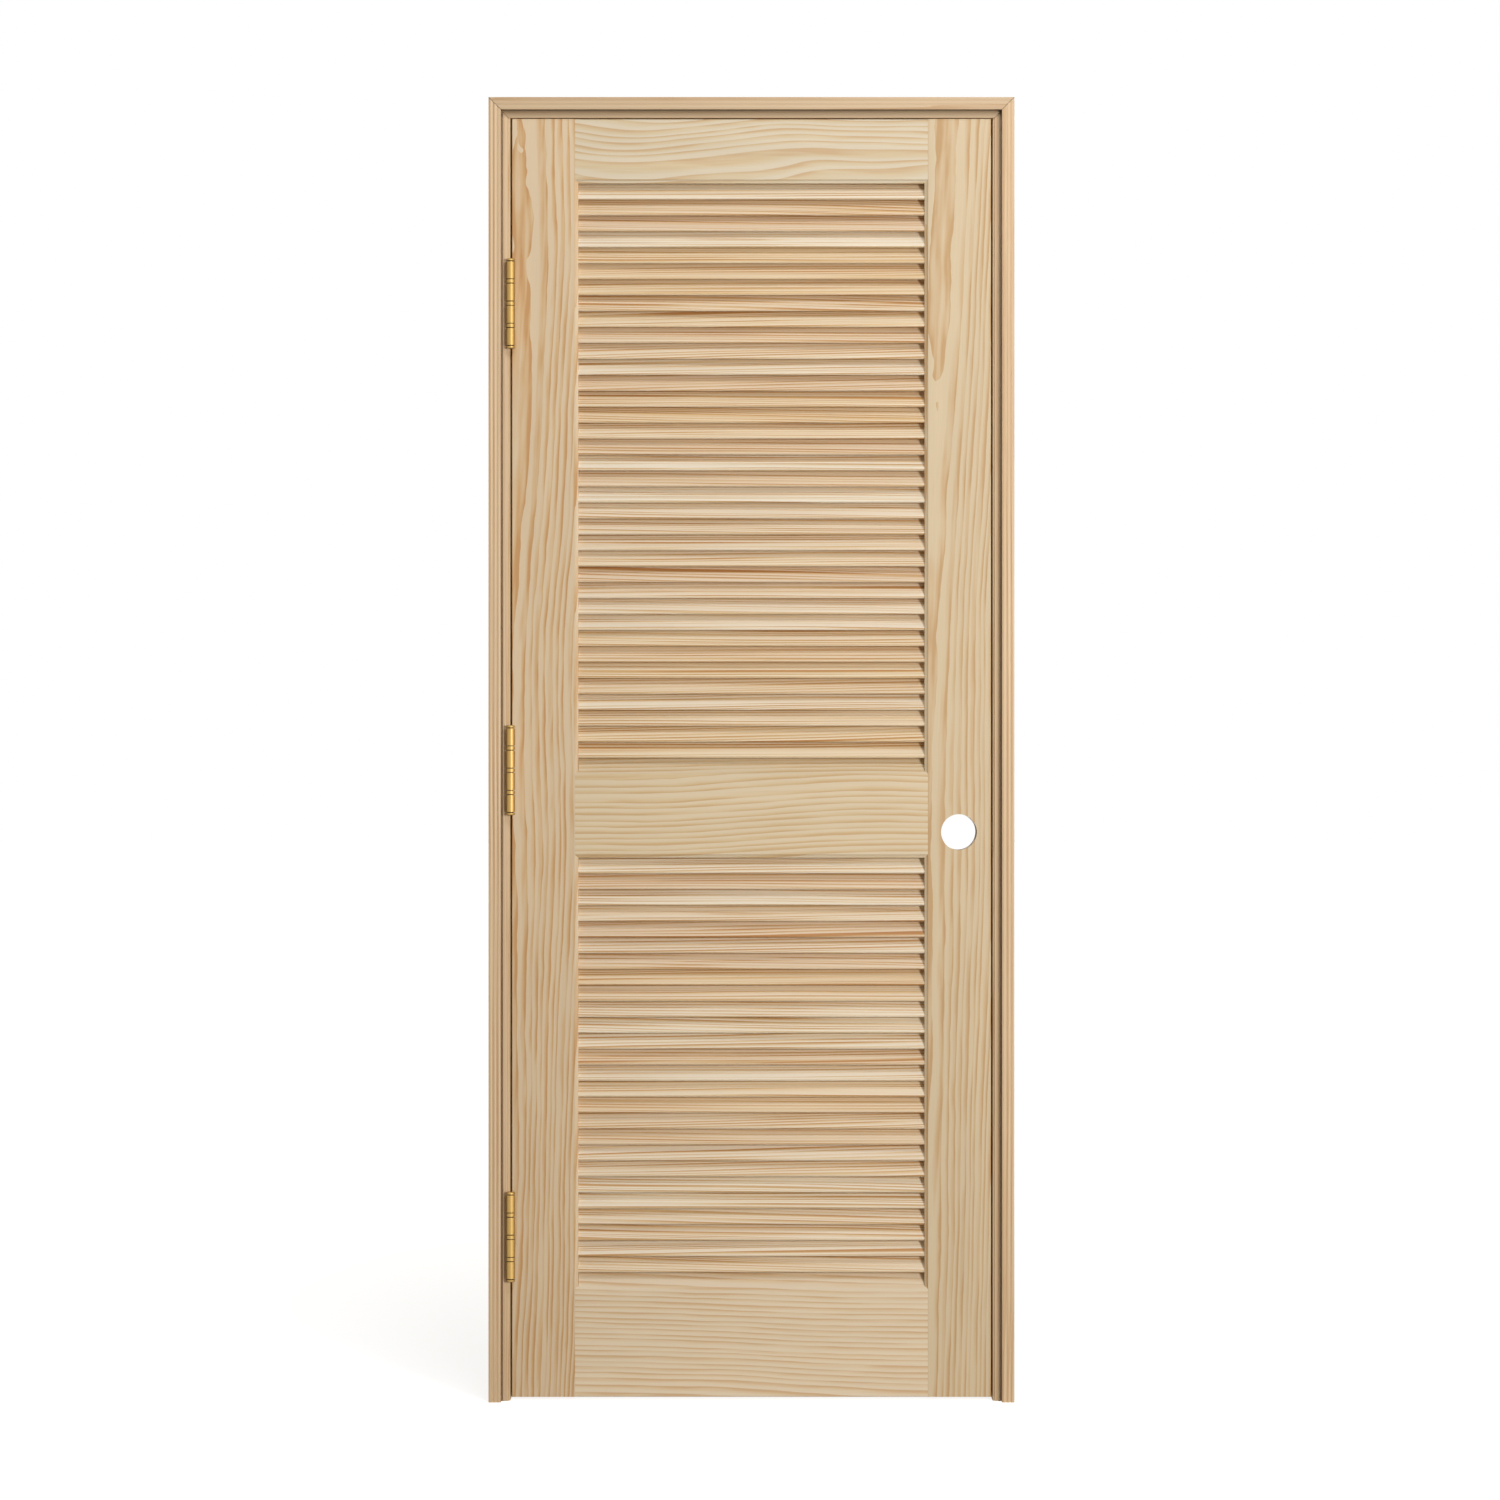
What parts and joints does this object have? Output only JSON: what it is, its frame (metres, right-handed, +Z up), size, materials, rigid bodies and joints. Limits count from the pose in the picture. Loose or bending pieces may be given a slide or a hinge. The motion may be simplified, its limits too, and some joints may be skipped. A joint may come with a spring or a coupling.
{
  "type": "louvred door",
  "caption": "Pine louvred door hung on brass butt hinges in a jamb with stops and mitred casing; stiles and rails hold banks of fixed sloping slats, and one stile is bored for a lock.",
  "frame": {"origin": "on the floor, midway across the unit's width and depth", "axes": "+Z up along the jambs, +X towards the lock side as seen from the front, front facing -Y"},
  "size_m": [0.834, 0.1317, 2.07],
  "materials": {
    "stile_pine": "sanded pine",
    "rail_pine": "sanded pine",
    "louvre_pine": "sanded pine",
    "jamb_pine": "sanded pine",
    "casing_pine": "sanded pine",
    "polished_brass": "polished"
  },
  "bodies": {
    "frame": {"hinge_jamb": "jamb_pine", "strike_jamb": "jamb_pine", "head_jamb": "jamb_pine", "hinge_stop": "jamb_pine", "strike_stop": "jamb_pine", "head_stop": "jamb_pine", "hinge_side_casing": "casing_pine", "strike_side_casing": "casing_pine", "head_casing": "casing_pine", "top_hinge_jamb_leaf": "polished_brass", "top_hinge_pin": "polished_brass", "middle_hinge_jamb_leaf": "polished_brass", "middle_hinge_pin": "polished_brass", "bottom_hinge_jamb_leaf": "polished_brass", "bottom_hinge_pin": "polished_brass"},
    "door": {"hinge_stile": "stile_pine", "lock_stile": "stile_pine", "top_rail": "rail_pine", "lock_rail": "rail_pine", "bottom_rail": "rail_pine", "top_hinge_door_leaf": "polished_brass", "middle_hinge_door_leaf": "polished_brass", "bottom_hinge_door_leaf": "polished_brass", "upper_louvre_01": "louvre_pine", "upper_louvre_02": "louvre_pine", "upper_louvre_03": "louvre_pine", "upper_louvre_04": "louvre_pine", "upper_louvre_05": "louvre_pine", "upper_louvre_06": "louvre_pine", "upper_louvre_07": "louvre_pine", "upper_louvre_08": "louvre_pine", "upper_louvre_09": "louvre_pine", "upper_louvre_10": "louvre_pine", "upper_louvre_11": "louvre_pine", "upper_louvre_12": "louvre_pine", "upper_louvre_13": "louvre_pine", "upper_louvre_14": "louvre_pine", "upper_louvre_15": "louvre_pine", "upper_louvre_16": "louvre_pine", "upper_louvre_17": "louvre_pine", "upper_louvre_18": "louvre_pine", "upper_louvre_19": "louvre_pine", "upper_louvre_20": "louvre_pine", "upper_louvre_21": "louvre_pine", "upper_louvre_22": "louvre_pine", "upper_louvre_23": "louvre_pine", "upper_louvre_24": "louvre_pine", "upper_louvre_25": "louvre_pine", "upper_louvre_26": "louvre_pine", "upper_louvre_27": "louvre_pine", "upper_louvre_28": "louvre_pine", "upper_louvre_29": "louvre_pine", "upper_louvre_30": "louvre_pine", "upper_louvre_31": "louvre_pine", "upper_louvre_32": "louvre_pine", "upper_louvre_33": "louvre_pine", "upper_louvre_34": "louvre_pine", "upper_louvre_35": "louvre_pine", "upper_louvre_36": "louvre_pine"}
  },
  "joints": [
    {"name": "door_swing", "type": "hinge", "parent": "frame", "child": "door", "pos_m": [-0.38225, -0.05862, 1], "axis": [0, 0, -1], "range_deg": [0, 175]}
  ]
}
